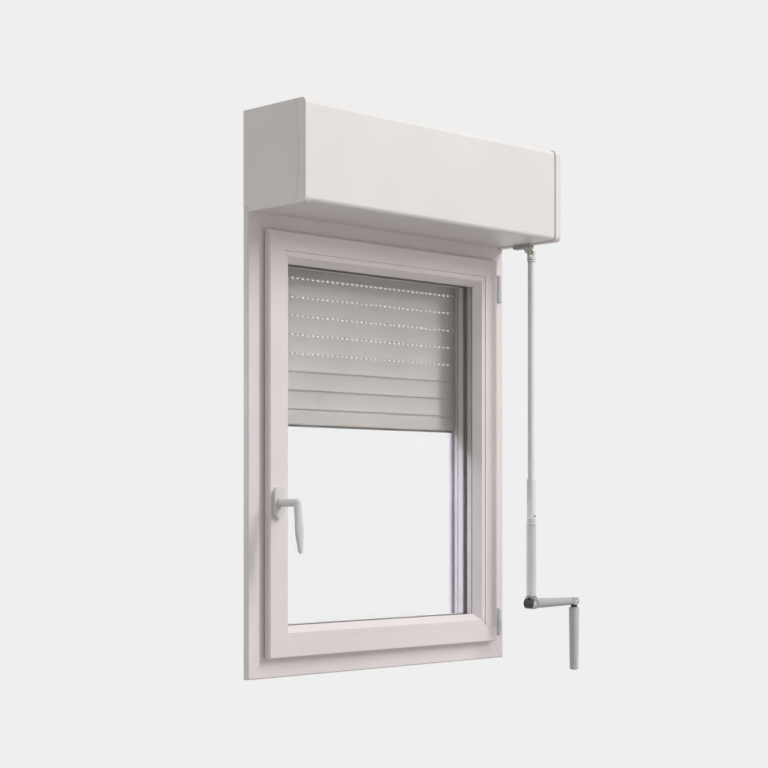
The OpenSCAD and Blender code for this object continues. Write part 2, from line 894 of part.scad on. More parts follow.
// Two round cheeks with a slot of the given width between them, on the Y axis
module cheeks(d, slot, w) {
  for (s = [-1, 1]) rotate([90, 0, 0]) translate([0, 0, s * (slot + w) / 4])
    cylinder(d = d, h = (w - slot) / 2, center = true);
}

module crank_rod() {
  crown_z = knuckle_z + knuckle_d / 2 + eps;
  slot = arm_w + 2 * free;
  color(grey) {
    difference() {
      translate([joint_x, joint_y, crown_z]) cylinder(d = rod_d, h = rod_top_z - crown_z);
      translate([joint_x, joint_y, sleeve_z + sleeve_len]) cylinder(d = rod_d - 3, h = far);
    }
    translate([joint_x, joint_y, sleeve_z + sleeve_len + free]) difference() {
      cylinder(d = collar_d, h = collar_len);
      translate([0, 0, -eps]) cylinder(d = rod_d - 1, h = far);
    }
    translate([joint_x, joint_y, crown_z]) cylinder(d = knuckle_d - 1, h = sleeve_z - free - crown_z);
    translate([joint_x, joint_y, knuckle_z]) {
      cheeks(knuckle_d, slot, knuckle_d - 2);
      for (s = [-1, 1]) translate([-rod_d / 2, s > 0 ? slot / 2 : 1 - knuckle_d / 2, 0])
        cube([rod_d, knuckle_d / 2 - 1 - slot / 2, knuckle_d / 2 + 1]);
      rotate([90, 0, 0]) cylinder(d = knuckle_pin_d, h = knuckle_d - 2, center = true);
    }
  }
}

module crank_arm() {
  cone_x = knuckle_d / 2 + 1;
  cone_end = arm_len - arm_end_d / 2 - 1;
  web_h = arm_end_d - 2;
  slot = grip_tongue_w + 2 * free;
  color(grey) translate([joint_x, joint_y, knuckle_z]) {
    difference() {
      union() {
        rotate([90, 0, 0]) cylinder(d = knuckle_d, h = arm_w, center = true);
        translate([0, -arm_w / 2, -web_h / 2]) cube([cone_x + 1, arm_w, web_h]);
      }
      rotate([90, 0, 0]) cylinder(d = knuckle_pin_d + 2 * run, h = far, center = true);
    }
    translate([cone_x, 0, 0]) rotate([0, 90, 0])
      cylinder(d1 = knuckle_d - 2, d2 = arm_end_d, h = cone_end - cone_x);
    translate([arm_len, 0, 0]) {
      cheeks(arm_end_d, slot, arm_end_d);
      for (s = [-1, 1]) translate([cone_end - arm_len - 1, s > 0 ? slot / 2 : -arm_end_d / 2, -web_h / 2])
        cube([arm_len - cone_end + 1, (arm_end_d - slot) / 2, web_h]);
      rotate([90, 0, 0]) cylinder(d = grip_pin_d, h = arm_end_d, center = true);
    }
  }
}

module grip_knuckle() {
  tongue_d = arm_end_d - 2;
  shoulder = grip_top_z + 2 * free - knuckle_z;
  color("dimgray") translate([arm_x, joint_y, knuckle_z]) difference() {
    union() {
      rotate([90, 0, 0]) cylinder(d = tongue_d, h = grip_tongue_w, center = true);
      translate([-tongue_d / 2, -grip_tongue_w / 2, shoulder]) cube([tongue_d, grip_tongue_w, -shoulder]);
      translate([0, 0, shoulder]) cylinder(d = tongue_d, h = -shoulder - arm_end_d / 2 - eps);
      translate([0, 0, shoulder - spindle_len]) cylinder(d = grip_spindle_d, h = spindle_len + eps);
    }
    rotate([90, 0, 0]) cylinder(d = grip_pin_d + 2 * run, h = far, center = true);
  }
}

module crank_grip() {
  color(grey) translate([arm_x, joint_y, grip_top_z]) difference() {
    rotate([180, 0, 0]) cylinder(d1 = grip_d, d2 = grip_end_d, h = grip_len);
    translate([0, 0, -spindle_len - eps]) cylinder(d = grip_spindle_d + 2 * run, h = far);
  }
}

frame_head();
frame_bottom();
frame_jamb_left();
frame_jamb_right();
frame_seal();
outer_sill();
head_adapter();
guide_left();
guide_right();
guide_brushes();
box_top();
box_outer_panel();
box_underside();
box_front_cover();
end_cap_left();
end_cap_right();
side_plates();
box_insulation();
idler_bearing();
winch_housing();
exit_plate();
strike_plates();
hinge_frame_leaves();
hinge_pins();
roller_tube();
idler_plug();
drive_plug();
wound_slats();
drive_rod();
upper_fork();
bottom_bar();
bottom_seal();
upper_slats();
sash_rail_top();
sash_rail_bottom();
sash_stile_lock();
sash_stile_hinge();
glazing_beads();
glass_panes();
glass_spacer();
glazing_gaskets();
hinge_sash_leaves();
handle_rosette();
handle_lever();
locking_bar();
crank_sleeve();
crank_rod();
lower_fork();
joint_cross();
crank_arm();
grip_knuckle();
crank_grip();
for (i = [1 : VISIBLE_SLATS]) slat(i);
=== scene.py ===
"""Dresses the window unit and its roller shutter: finishes, softened edges, small fasteners and a studio.

Every length is in metres unless its name ends in _mm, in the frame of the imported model:
X to the right seen from the room, Y out through the wall, Z up from the seat under the sill.
"""

import json
import logging
import math
from collections.abc import Callable, Iterator
from contextlib import contextmanager
from dataclasses import dataclass
from enum import Enum

import bpy
from mathutils import Matrix, Vector


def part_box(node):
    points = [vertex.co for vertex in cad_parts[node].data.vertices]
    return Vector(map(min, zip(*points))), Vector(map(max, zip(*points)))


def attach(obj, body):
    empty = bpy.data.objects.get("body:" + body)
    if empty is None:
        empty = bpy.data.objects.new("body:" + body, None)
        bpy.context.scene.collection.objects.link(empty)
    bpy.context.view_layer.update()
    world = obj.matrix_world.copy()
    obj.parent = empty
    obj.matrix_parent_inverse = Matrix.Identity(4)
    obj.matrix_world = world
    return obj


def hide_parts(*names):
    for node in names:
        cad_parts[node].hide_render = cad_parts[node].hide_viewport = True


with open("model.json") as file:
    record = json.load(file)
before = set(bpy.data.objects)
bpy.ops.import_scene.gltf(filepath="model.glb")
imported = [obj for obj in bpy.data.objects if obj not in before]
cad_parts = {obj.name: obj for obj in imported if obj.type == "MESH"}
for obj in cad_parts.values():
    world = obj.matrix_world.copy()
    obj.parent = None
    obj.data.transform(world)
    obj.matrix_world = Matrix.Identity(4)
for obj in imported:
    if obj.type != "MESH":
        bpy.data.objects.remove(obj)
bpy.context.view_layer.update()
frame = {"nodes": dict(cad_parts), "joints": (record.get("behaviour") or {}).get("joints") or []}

MM = 0.001
UP = Vector((0, 0, 1))
DOWN = -UP
INTO_ROOM = Vector((0, -1, 0))
IMAGE_PX = 768
SENSOR_MM = 36.0
VIEW_END = 100.0
# Cosine above which a face counts as facing along an axis, and the angle up to which faces shade as one.
FACING = 0.9
SMOOTH_ANGLE = math.radians(35)
# Points of the CAD mesh that are nearer than this are one point.
WELD_MM = 0.01
# How far the edge of a new piece lies inside the outline of what carries it, so that no gap shows.
SUNK_MM = 0.3
# Ends of a turned outline that meet are joined within this.
SEAM = 1e-7
# Corners of a face of a turned skin. The faces that close its ends have more.
SKIN_CORNERS = 4
log = logging.getLogger("window_unit")


class Pattern(Enum):
    """What the fine structure of a surface is made of."""

    GRAIN = "fine moulded or extruded grain"
    LINES = "lines drawn along the length"
    SPANGLE = "flat crystals, as on galvanised sheet"
    BEADS = "pressed foam beads"


def linear(hex_colour: str) -> tuple[float, float, float, float]:
    """Turns an sRGB hex value into linear RGBA by the standard's curve.

    Args:
        hex_colour: Six hex digits after a hash.

    Returns:
        Red, green, blue and an alpha of one.
    """
    parts = [int(hex_colour[i : i + 2], 16) / 255 for i in (1, 3, 5)]
    red, green, blue = [c / 12.92 if c <= 0.04045 else ((c + 0.055) / 1.055) ** 2.4 for c in parts]
    return red, green, blue, 1.0


def add_node(
    tree: bpy.types.NodeTree, kind: str, links: dict | None = None, **settings: object
) -> bpy.types.Node:
    """Adds one node with its settings and its incoming links.

    Args:
        tree: The node tree that gets it.
        kind: Blender's name for the node.
        links: Output sockets by the name of the input that each feeds.
        settings: Values of inputs, by socket name with _ for a space, or properties of the node.

    Returns:
        The new node.
    """
    made = tree.nodes.new(kind)
    for key, value in settings.items():
        socket = key.replace("_", " ")
        if socket in made.inputs:
            made.inputs[socket].default_value = value
        else:
            setattr(made, key, value)
    for key, source in (links or {}).items():
        tree.links.new(source, made.inputs[key])
    return made


@dataclass(frozen=True)
class Finish:
    """One real material with its surface, made into a node material on first use."""

    name: str
    light: str
    dark: str
    roughness: float
    ior: float = 1.5
    metallic: float = 0.0
    pattern: Pattern = Pattern.GRAIN
    grain_mm: float = 2.5
    depth_mm: float = 0.004
    cloud_mm: float = 160.0
    cloud_detail: float = 2.0
    cloud_stops: tuple[float, float] = (0.3, 0.7)
    grain_detail: float = 3.0
    line_stretch: float = 0.02
    relief: float = 0.6
    roughness_spread: float = 0.06

    def material(self) -> bpy.types.Material:
        """Returns the material of this name, building it if needed."""
        found = bpy.data.materials.get(self.name)
        if found:
            return found
        made = bpy.data.materials.new(self.name)
        made.use_nodes = True
        made.node_tree.nodes.clear()
        self.wire(made.node_tree)
        return made

    def wire(self, tree: bpy.types.NodeTree) -> None:
        """Builds the nodes: broad clouds of tint, a fine pattern for bump and gloss, and the shader.

        Args:
            tree: The empty tree of the material.
        """
        coords = add_node(tree, "ShaderNodeTexCoord").outputs["Object"]
        fine = self.fine_pattern(tree, coords)
        gloss = add_node(
            tree,
            "ShaderNodeMapRange",
            {"Value": fine},
            To_Min=self.roughness - self.roughness_spread,
            To_Max=self.roughness + self.roughness_spread,
        )
        bump = add_node(
            tree, "ShaderNodeBump", {"Height": fine}, Strength=self.relief, Distance=self.depth_mm * MM
        )
        surface = {"Roughness": gloss.outputs[0], "Normal": bump.outputs[0]}
        shader = add_node(
            tree,
            "ShaderNodeBsdfPrincipled",
            {"Base Color": self.tint(tree, coords)} | surface,
            IOR=self.ior,
            Metallic=self.metallic,
        )
        add_node(tree, "ShaderNodeOutputMaterial", {"Surface": shader.outputs[0]})

    def clouds(
        self, tree: bpy.types.NodeTree, coords: bpy.types.NodeSocket, light: str, dark: str
    ) -> bpy.types.NodeSocket:
        """Adds broad soft clouds between two near tints.

        Args:
            tree: The tree of the material.
            coords: Object coordinates, in metres.
            light: The lighter tint.
            dark: The darker tint.

        Returns:
            The colour.
        """
        per_metre = 1 / (self.cloud_mm * MM)
        noise = add_node(
            tree, "ShaderNodeTexNoise", {"Vector": coords}, Scale=per_metre, Detail=self.cloud_detail
        )
        ramp = add_node(tree, "ShaderNodeValToRGB", {"Fac": noise.outputs[0]})
        for stop, place, tone in zip(ramp.color_ramp.elements, self.cloud_stops, (dark, light)):
            stop.position = place
            stop.color = linear(tone)
        return ramp.outputs[0]

    def tint(self, tree: bpy.types.NodeTree, coords: bpy.types.NodeSocket) -> bpy.types.NodeSocket:
        """Returns the colour of the surface."""
        return self.clouds(tree, coords, self.light, self.dark)

    def fine_pattern(self, tree: bpy.types.NodeTree, coords: bpy.types.NodeSocket) -> bpy.types.NodeSocket:
        """Adds the fine texture of this finish.

        Args:
            tree: The tree of the material.
            coords: Object coordinates, in metres.

        Returns:
            A value from 0 to 1.
        """
        per_metre = 1 / (self.grain_mm * MM)
        if self.pattern in (Pattern.SPANGLE, Pattern.BEADS):
            cells = add_node(tree, "ShaderNodeTexVoronoi", {"Vector": coords}, Scale=per_metre)
            return cells.outputs["Color" if self.pattern is Pattern.SPANGLE else "Distance"]
        stretch = self.line_stretch if self.pattern is Pattern.LINES else 1.0
        place = add_node(tree, "ShaderNodeMapping", {"Vector": coords}, Scale=(stretch, 1.0, 1.0))
        grain = add_node(
            tree,
            "ShaderNodeTexNoise",
            {"Vector": place.outputs[0]},
            Scale=per_metre,
            Detail=self.grain_detail,
        )
        return grain.outputs[0]


@dataclass(frozen=True)
class TwoTone(Finish):
    """A tube whose lower end is a moulding of another colour, parted at a height."""

    low_light: str = "#b6b4b3"
    low_dark: str = "#aba9a8"
    parted_at: float = 0.0

    def tint(self, tree: bpy.types.NodeTree, coords: bpy.types.NodeSocket) -> bpy.types.NodeSocket:
        """Returns the moulding's colour below the parting height and the tube's above it.

        Args:
            tree: The tree of the material.
            coords: Object coordinates, in metres.

        Returns:
            The colour.
        """
        height = add_node(tree, "ShaderNodeSeparateXYZ", {"Vector": coords}).outputs["Z"]
        above = add_node(tree, "ShaderNodeMath", operation="GREATER_THAN")
        tree.links.new(height, above.inputs[0])
        above.inputs[1].default_value = self.parted_at
        mixed = add_node(tree, "ShaderNodeMixRGB", {"Fac": above.outputs[0]})
        tree.links.new(self.clouds(tree, coords, self.low_light, self.low_dark), mixed.inputs[1])
        tree.links.new(self.clouds(tree, coords, self.light, self.dark), mixed.inputs[2])
        return mixed.outputs[0]


@dataclass(frozen=True)
class Glazing(Finish):
    """Clear float glass: light goes through, and the pane mirrors more at a flat angle."""

    facing_alpha: float = 0.02
    flat_alpha: float = 0.25
    edge_blend: float = 0.18

    def wire(self, tree: bpy.types.NodeTree) -> None:
        """Builds a transmitting shader that lets most light straight through.

        Args:
            tree: The empty tree of the material.
        """
        facing = add_node(tree, "ShaderNodeLayerWeight", Blend=self.edge_blend)
        cover = add_node(
            tree,
            "ShaderNodeMapRange",
            {"Value": facing.outputs["Fresnel"]},
            To_Min=self.facing_alpha,
            To_Max=self.flat_alpha,
        )
        shader = add_node(
            tree,
            "ShaderNodeBsdfPrincipled",
            {"Alpha": cover.outputs[0]},
            Base_Color=linear(self.light),
            Roughness=self.roughness,
            IOR=self.ior,
            Transmission_Weight=1.0,
        )
        add_node(tree, "ShaderNodeOutputMaterial", {"Surface": shader.outputs[0]})


# Rigid PVC, extruded through a polished die: satin, slightly warm white, faint clouds of gloss.
FRAME_PVC = Finish("rigid_pvc_extruded", "#e9e1df", "#e3dbd9", 0.36, ior=1.53)
# The same PVC in wide panels, which come out duller than the narrow bars.
PANEL_PVC = Finish("rigid_pvc_panel", "#e9e4e1", "#e4dfdc", 0.42, ior=1.53, cloud_mm=240.0)
# The box's lid, plain sheet of the same PVC: matt and a little darker.
LID_PVC = Finish("rigid_pvc_lid", "#d3cecb", "#cac5c2", 0.7, ior=1.53, cloud_mm=240.0)
# The guides are narrow extrusions with a tighter polish, in a cooler white.
GUIDE_PVC = Finish("rigid_pvc_guide", "#f1edf0", "#e9e5e8", 0.3, ior=1.53)
# Polyester powder coat on zinc castings: a soft orange-peel skin.
FITTING_COAT = Finish("powder_coat_white", "#dcd9d7", "#d4d1cf", 0.3, grain_mm=1.6, depth_mm=0.02)
HINGE_COAT = Finish("powder_coat_grey", "#c9c6c4", "#bfbcba", 0.34, grain_mm=1.6, depth_mm=0.02)
# EPDM rubber in grey, extruded: matt, with a fine dull skin.
SEAL_RUBBER = Finish("epdm_rubber", "#75706e", "#686361", 0.7, grain_mm=1.2, depth_mm=0.03)
# The glazing gaskets are the same rubber with more chalk in it: a lighter grey.
GASKET_RUBBER = Finish("grey_glazing_rubber", "#a5a09e", "#969190", 0.7, grain_mm=1.2, depth_mm=0.03)
# Polypropylene pile: dull, and broken up into tufts.
PILE = Finish("polypropylene_pile", "#e6e3e6", "#cfccd0", 0.9, grain_mm=1.0, depth_mm=0.3)
# Hot-dip galvanised sheet: a patchwork of flat zinc crystals.
ZINC_SHEET = Finish(
    "galvanised_sheet", "#b4b6b8", "#a3a5a8", 0.42, metallic=1.0, pattern=Pattern.SPANGLE, grain_mm=9.0,
    roughness_spread=0.12,
)
# Cold-drawn bar: bright, with fine lines along its length.
BRIGHT_STEEL = Finish(
    "drawn_steel", "#bdbcba", "#adacab", 0.3, metallic=1.0, pattern=Pattern.LINES, grain_mm=0.8
)
# Zinc die casting under a pale tumbled plating: half dull, half metallic.
ZINC_CAST = Finish("zinc_die_cast", "#e3e2de", "#d8d6d2", 0.42, metallic=0.4, grain_mm=1.0)
# Spacer bar between the panes: thin sheet with a pale matt skin.
SPACER_METAL = Finish("warm_edge_spacer", "#e9e3e1", "#dfd9d7", 0.5, grain_mm=1.0)
# Expanded polystyrene: beads pressed together, each with a shallow dimple line round it.
FOAM = Finish(
    "expanded_polystyrene", "#e8e8ea", "#dcdcdf", 0.8, pattern=Pattern.BEADS, grain_mm=4.0, depth_mm=0.4
)
# Moulded polyamide of the drive and of the crank's bands: dull, from black to a pale grey.
BLACK_NYLON = Finish("black_nylon", "#3a3838", "#2d2c2c", 0.5, grain_mm=0.9, depth_mm=0.02)
EXIT_NYLON = Finish("exit_plate_nylon", "#b8b5b2", "#adaaa7", 0.5, grain_mm=0.9, depth_mm=0.02)
BAND_NYLON = Finish("grey_nylon_band", "#8d8a87", "#827f7c", 0.5, grain_mm=0.9, depth_mm=0.02)
# Foam-filled slat with a baked lacquer: a satin grey with a breath of beige and faint rolling lines.
SLAT_LACQUER = Finish(
    "lacquered_slat", "#d6d0cb", "#cdc7c2", 0.34, pattern=Pattern.LINES, grain_mm=1.5, depth_mm=0.02
)
# Lacquered aluminium tube, on the crank with a grey moulded knuckle at its lower end.
CRANK_TUBE = TwoTone(
    "lacquered_aluminium", "#f0efee", "#e8e7e6", 0.33, metallic=0.1, grain_mm=1.2, low_light="#a3a19f",
    low_dark="#989694", parted_at=0.1512,
)
# Grey moulded polyamide of the crank: dull, with a fine spark-eroded grain.
SLEEVE_NYLON = Finish("light_grey_nylon", "#dddbda", "#d3d1d0", 0.45, grain_mm=1.0, depth_mm=0.02)
ARM_NYLON = Finish("mid_grey_nylon", "#b6b4b3", "#aba9a8", 0.42, grain_mm=1.0, depth_mm=0.02)
GRIP_NYLON = Finish("grey_nylon", "#cbc9c8", "#bfbdbc", 0.45, grain_mm=1.0, depth_mm=0.02)
# Float glass: flat and clear, with a breath of green.
GLASS = Glazing("float_glass", "#f4faf8", "#f4faf8", 0.0, ior=1.52)


def clear_selection() -> None:
    """Leaves nothing selected, so that an operator acts only on what is selected next."""
    if bpy.context.mode != "OBJECT":
        bpy.ops.object.mode_set(mode="OBJECT")
    bpy.ops.object.select_all(action="DESELECT")


def select_only(piece: bpy.types.Object) -> None:
    """Makes a piece the only selected one and the active one.

    Args:
        piece: The mesh object.
    """
    clear_selection()
    piece.select_set(True)
    bpy.context.view_layer.objects.active = piece


@contextmanager
def editing(
    piece: bpy.types.Object, pick: Callable[[bpy.types.MeshPolygon], bool] | None = None
) -> Iterator[None]:
    """Opens a mesh in edit mode with some of its faces selected.

    Args:
        piece: The mesh object.
        pick: Says of a face whether it is selected; all faces if left out.
    """
    select_only(piece)
    mesh = piece.data
    mesh.vertices.foreach_set("select", [False] * len(mesh.vertices))
    mesh.edges.foreach_set("select", [False] * len(mesh.edges))
    for face in mesh.polygons:
        face.select = pick is None or pick(face)
    bpy.ops.object.mode_set(mode="EDIT")
    bpy.ops.mesh.select_mode(type="FACE")
    yield
    bpy.ops.object.mode_set(mode="OBJECT")


def facing_up(face: bpy.types.MeshPolygon) -> bool:
    """True for a face whose normal points along +Z."""
    return face.normal.z > FACING


def recess_floor(face: bpy.types.MeshPolygon) -> bool:
    """True for the many-sided face in the middle of a screw head."""
    return facing_up(face) and len(face.vertices) > SKIN_CORNERS


def turned_to(piece: bpy.types.Object, at: Vector, axis: Vector) -> bpy.types.Object:
    """Stands a piece that was made on +Z at the origin along an axis, with its place in its mesh.

    Args:
        piece: The mesh object, at the origin.
        at: Where its origin goes.
        axis: The direction that its Z takes.

    Returns:
        The same piece.
    """
    turn = UP.rotation_difference(Vector(axis)).to_matrix().to_4x4()
    piece.data.transform(Matrix.Translation(Vector(at)) @ turn)
    return piece


def finished(piece: bpy.types.Object, name: str, finish: Finish, body: str) -> bpy.types.Object:
    """Names a new piece, smooths it, gives it its finish and lets it ride on its body.

    Args:
        piece: The mesh object.
        name: Its name in the scene.
        finish: Its finish.
        body: The body that carries it.

    Returns:
        The same piece.
    """
    piece.name = name
    piece.data.name = name
    select_only(piece)
    bpy.ops.object.shade_smooth_by_angle(angle=SMOOTH_ANGLE)
    piece.data.materials.clear()
    piece.data.materials.append(finish.material())
    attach(piece, body)
    log.info("piece %s on %s: %d faces", name, body, len(piece.data.polygons))
    return piece


def follow(outline: list[tuple[float, float]]) -> None:
    """Extrudes the selected ring on +Z step by step, scaling it to each radius.

    Args:
        outline: Radius and height of each step, of which the ring itself is the first.
    """
    for (r0, z0), (r1, z1) in zip(outline, outline[1:]):
        bpy.ops.mesh.extrude_region_move(TRANSFORM_OT_translate={"value": (0, 0, z1 - z0)})
        bpy.ops.transform.resize(value=(r1 / r0, r1 / r0, 1), center_override=(0, 0, z1))
    bpy.ops.mesh.select_all(action="SELECT")


def turned_part(outline: list[tuple[float, float]], sides: int = 32) -> bpy.types.Object:
    """Turns a solid of revolution on +Z from a ring that is extruded and scaled step by step.

    Args:
        outline: Radius and height of each step, from the bottom up.
        sides: Number of sides.

    Returns:
        The mesh object, closed at both ends.
    """
    clear_selection()
    radius, height = outline[0]
    bpy.ops.mesh.primitive_circle_add(
        vertices=sides, radius=radius, fill_type="NGON", location=(0, 0, height)
    )
    piece = bpy.context.active_object
    bpy.ops.object.transform_apply(location=True, rotation=True, scale=True)
    bpy.ops.object.mode_set(mode="EDIT")
    bpy.ops.mesh.select_all(action="SELECT")
    follow(outline)
    bpy.ops.mesh.normals_make_consistent(inside=False)
    bpy.ops.object.mode_set(mode="OBJECT")
    return piece


def turned_band(
    radius: float, wall: float, height: float, sides: int = 48, broken: float = 0.3
) -> bpy.types.Object:
    """Turns a narrow band with broken edges on +Z.

    Args:
        radius: Outer radius.
        wall: Thickness from the bore out.
        height: Height.
        sides: Number of sides.
        broken: Share of the smaller of wall and height that the broken edge takes.

    Returns:
        The mesh object, a closed ring.
    """
    bore, soft = radius - wall, broken * min(wall, height)
    outline = [(bore, 0), (radius - soft, 0), (radius, soft)]
    outline += [(radius, height - soft), (radius - soft, height), (bore, height), (bore, 0)]
    clear_selection()
    bpy.ops.mesh.primitive_circle_add(vertices=sides, radius=bore, fill_type="NOTHING")
    piece = bpy.context.active_object
    bpy.ops.object.mode_set(mode="EDIT")
    bpy.ops.mesh.select_mode(type="EDGE")
    bpy.ops.mesh.select_all(action="SELECT")
    follow(outline)
    bpy.ops.mesh.remove_doubles(threshold=SEAM)
    bpy.ops.mesh.normals_make_consistent(inside=False)
    bpy.ops.object.mode_set(mode="OBJECT")
    return piece


# Round heads: sides, angles of the rings of a dome, and the share of its height that is sunk in.
HEAD_SIDES = 24
DOME_STEPS_DEG = (0, 25, 50, 75)
DOME_ROOT = 0.3
# Screw head: radius and height of each step as shares, then the rim, points and depth of its star recess.
SCREW_STEPS = ((1.0, 0.0), (1.0, 0.45), (0.8, 0.85), (0.6, 1.0))
STAR_RIM = 0.18
STAR_POINT = 0.72
STAR_EVERY = 4
STAR_DEPTH = 0.6


def rivet_head(radius: float, height: float) -> bpy.types.Object:
    """Makes a low domed head on +Z, closed underneath.

    Args:
        radius: Radius of the head.
        height: Height of the dome.

    Returns:
        The mesh object.
    """
    steps = [math.radians(a) for a in DOME_STEPS_DEG]
    dome = [(radius * math.cos(a), height * math.sin(a)) for a in steps]
    return turned_part([(radius, -DOME_ROOT * height)] + dome, HEAD_SIDES)


def applied(piece: bpy.types.Object, kind: str, **settings: object) -> bpy.types.Object:
    """Adds a modifier to a piece and applies it.

    Args:
        piece: The mesh object.
        kind: Blender's name for the modifier.
        settings: Its properties.

    Returns:
        The same piece.
    """
    select_only(piece)
    modifier = piece.modifiers.new(kind.lower(), kind)
    for key, value in settings.items():
        setattr(modifier, key, value)
    bpy.ops.object.modifier_apply(modifier=modifier.name)
    return piece


def joint_at(name: str) -> Vector:
    """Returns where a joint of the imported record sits, in metres."""
    return Vector(next(joint["pos_m"] for joint in frame["joints"] if joint["name"] == name))


def star_screw(radius: float, height: float) -> bpy.types.Object:
    """Makes a low screw head on +Z with a star recess.

    Args:
        radius: Radius of the head.
        height: Height of the head.

    Returns:
        The mesh object.
    """
    piece = turned_part([(r * radius, z * height) for r, z in SCREW_STEPS], HEAD_SIDES)
    with editing(piece, facing_up):
        bpy.ops.mesh.inset(thickness=STAR_RIM * radius)
    points = piece.data.vertices
    floor = next(face for face in piece.data.polygons if recess_floor(face))
    for place, index in enumerate(sorted(floor.vertices, key=lambda i: math.atan2(*points[i].co.yx))):
        if place % STAR_EVERY == 0:
            points[index].co.xy *= STAR_POINT
    with editing(piece, recess_floor):
        bpy.ops.mesh.extrude_region_move(TRANSFORM_OT_translate={"value": (0, 0, -STAR_DEPTH * height)})
    return piece


def copied(piece: bpy.types.Object) -> bpy.types.Object:
    """Copies a piece with a mesh of its own.

    Args:
        piece: The mesh object.

    Returns:
        The copy.
    """
    twin = piece.copy()
    twin.data = piece.data.copy()
    bpy.context.scene.collection.objects.link(twin)
    return twin


def row_of(piece: bpy.types.Object, places: list[tuple[Vector, Vector]]) -> list[bpy.types.Object]:
    """Puts one modelled piece at several places.

    Args:
        piece: The piece on +Z at the origin.
        places: Position and axis of each copy.

    Returns:
        As many objects as places.
    """
    twins = [piece] + [copied(piece) for _ in places[1:]]
    return [turned_to(twin, *place) for twin, place in zip(twins, places)]


@dataclass
class SubAssembly:
    """Part of the unit that belongs together: it dresses its CAD nodes and adds its small pieces."""

    edge_mm: float = 0.8
    edge_steps: int = 2

    def finishes(self) -> dict[str, Finish]:
        """Returns the finish of each CAD node of this sub-assembly."""
        return {}

    def rounded(self) -> dict[str, float]:
        """Returns the edge radius in millimetres of nodes that differ from edge_mm; 0 leaves them sharp."""
        return {}

    def dress(self) -> None:
        """Gives each CAD node its finish and breaks its edges."""
        radii = self.rounded()
        for node, finish in self.finishes().items():
            shown = frame["nodes"][node]
            shown.data.materials.clear()
            shown.data.materials.append(finish.material())
            self.soften(shown, radii.get(node, self.edge_mm))
            log.info("node %s: %s", node, finish.name)

    def soften(self, shown: bpy.types.Object, radius_mm: float) -> None:
        """Rounds the edges of a CAD node with modifiers, which leave its mesh alone.

        Args:
            shown: The node's object.
            radius_mm: The edge radius.
        """
        if radius_mm <= 0:
            return
        shown.data.polygons.foreach_set("use_smooth", [True] * len(shown.data.polygons))
        merged = shown.modifiers.new("merge", "WELD")
        merged.merge_threshold = WELD_MM * MM
        edge = shown.modifiers.new("edge", "BEVEL")
        edge.width = radius_mm * MM
        edge.segments = self.edge_steps
        edge.limit_method = "ANGLE"
        edge.angle_limit = SMOOTH_ANGLE
        shown.modifiers.new("shade", "WEIGHTED_NORMAL")

    def build(self) -> None:
        """Adds the small pieces of this sub-assembly."""


@dataclass
class WindowFrame(SubAssembly):
    """The fixed frame with its seals, sill and wall fixings."""

    rebate_x: float = 0.338
    fixing_y: float = -0.0115
    fixing_zs: tuple[float, float] = (0.193, 0.793)
    screw_r: float = 0.0055
    screw_h: float = 0.0014

    def finishes(self) -> dict[str, Finish]:
        """Returns the finish of each node of the frame."""
        bars = ["frame_head", "frame_bottom", "frame_jamb_left", "frame_jamb_right"]
        bars += ["outer_sill", "head_adapter"]
        return dict.fromkeys(bars, FRAME_PVC) | {"frame_seal": SEAL_RUBBER, "strike_plates": ZINC_SHEET}

    def rounded(self) -> dict[str, float]:
        """Returns the edge radii that differ."""
        return {"frame_seal": 0.6, "strike_plates": 0.3}

    def build(self) -> None:
        """Adds the four wall screws in the rebates of the jambs."""
        places = [
            (Vector((side * self.rebate_x, self.fixing_y, z)), Vector((-side, 0, 0)))
            for side in (-1, 1)
            for z in self.fixing_zs
        ]
        for i, screw in enumerate(row_of(star_screw(self.screw_r, self.screw_h), places), 1):
            finished(screw, f"frame_screw_{i}", ZINC_CAST, "window_unit")


